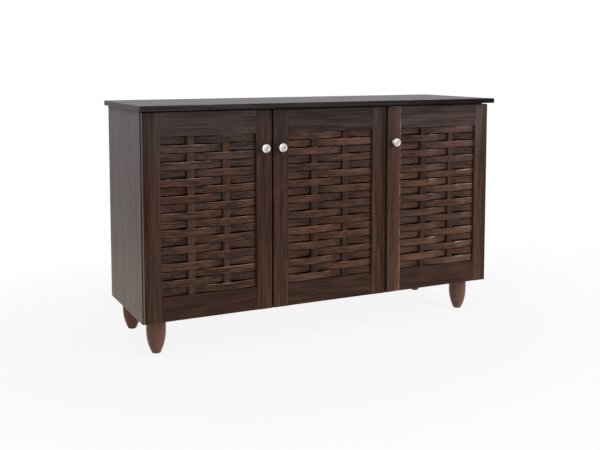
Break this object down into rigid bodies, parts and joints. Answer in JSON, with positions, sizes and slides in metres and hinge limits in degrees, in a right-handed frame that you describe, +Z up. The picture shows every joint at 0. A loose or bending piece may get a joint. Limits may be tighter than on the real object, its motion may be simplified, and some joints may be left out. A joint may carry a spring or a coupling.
{
  "type": "shoe cabinet",
  "caption": "Low dark wooden shoe cabinet with woven-slat doors on concealed hinges, loose shelves behind them, round metal knobs and turned feet.",
  "frame": {"origin": "on the floor under the middle of the whole cabinet, knobs included", "axes": "+X to the right seen from the front, +Y from the doors to the back, +Z up"},
  "size_m": [1.18, 0.4, 0.71],
  "materials": {
    "back_board": "thin dark brown board",
    "batten_wood": "dark stained wood",
    "felt": "dark felt",
    "foot_wood": "turned wood, dark stain, satin",
    "frame_laminate": "dark brown wood grain, satin",
    "hinge_steel": "nickel-plated steel",
    "inner_laminate": "dark brown wood-grain laminate, satin",
    "knob_metal": "satin silver plating",
    "side_laminate": "dark brown wood-grain laminate, upright grain, satin",
    "slat_wood": "dark stained thin wood, satin",
    "top_laminate": "dark brown wood-grain laminate, satin",
    "upright_wood": "dark stained wood, satin"
  },
  "bodies": {
    "carcass": {"back_panel": "back_board", "bottom_panel": "inner_laminate", "divider_panel": "inner_laminate", "door_pads": "felt", "feet": "foot_wood", "foot_bolts": "hinge_steel", "hinge_arms": "hinge_steel", "hinge_plates": "hinge_steel", "left_bay_shelf_1": "inner_laminate", "left_bay_shelf_2": "inner_laminate", "left_bay_shelf_3": "inner_laminate", "left_side_panel": "side_laminate", "right_bay_shelf_1": "inner_laminate", "right_bay_shelf_2": "inner_laminate", "right_bay_shelf_3": "inner_laminate", "right_side_panel": "side_laminate", "shelf_battens": "batten_wood", "top_panel": "top_laminate"},
    "left_door": {"left_door_bottom_rail": "frame_laminate", "left_door_hinge_cups": "hinge_steel", "left_door_hinge_pins": "hinge_steel", "left_door_hinge_stile": "frame_laminate", "left_door_knob": "knob_metal", "left_door_knob_stile": "frame_laminate", "left_door_slats": "slat_wood", "left_door_top_rail": "frame_laminate", "left_door_uprights": "upright_wood"},
    "middle_door": {"middle_door_bottom_rail": "frame_laminate", "middle_door_hinge_cups": "hinge_steel", "middle_door_hinge_pins": "hinge_steel", "middle_door_hinge_stile": "frame_laminate", "middle_door_knob": "knob_metal", "middle_door_knob_stile": "frame_laminate", "middle_door_slats": "slat_wood", "middle_door_top_rail": "frame_laminate", "middle_door_uprights": "upright_wood"},
    "right_door": {"right_door_bottom_rail": "frame_laminate", "right_door_hinge_cups": "hinge_steel", "right_door_hinge_pins": "hinge_steel", "right_door_hinge_stile": "frame_laminate", "right_door_knob": "knob_metal", "right_door_knob_stile": "frame_laminate", "right_door_slats": "slat_wood", "right_door_top_rail": "frame_laminate", "right_door_uprights": "upright_wood"}
  },
  "joints": [
    {"name": "left_door_hinge", "type": "hinge", "parent": "carcass", "child": "left_door", "pos_m": [-0.5675, -0.1652, 0.4], "axis": [0, 0, -1], "range_deg": [0, 95]},
    {"name": "middle_door_hinge", "type": "hinge", "parent": "carcass", "child": "middle_door", "pos_m": [0.18083, -0.1652, 0.4], "axis": [0, 0, 1], "range_deg": [0, 95]},
    {"name": "right_door_hinge", "type": "hinge", "parent": "carcass", "child": "right_door", "pos_m": [0.5675, -0.1652, 0.4], "axis": [0, 0, 1], "range_deg": [0, 95]}
  ]
}
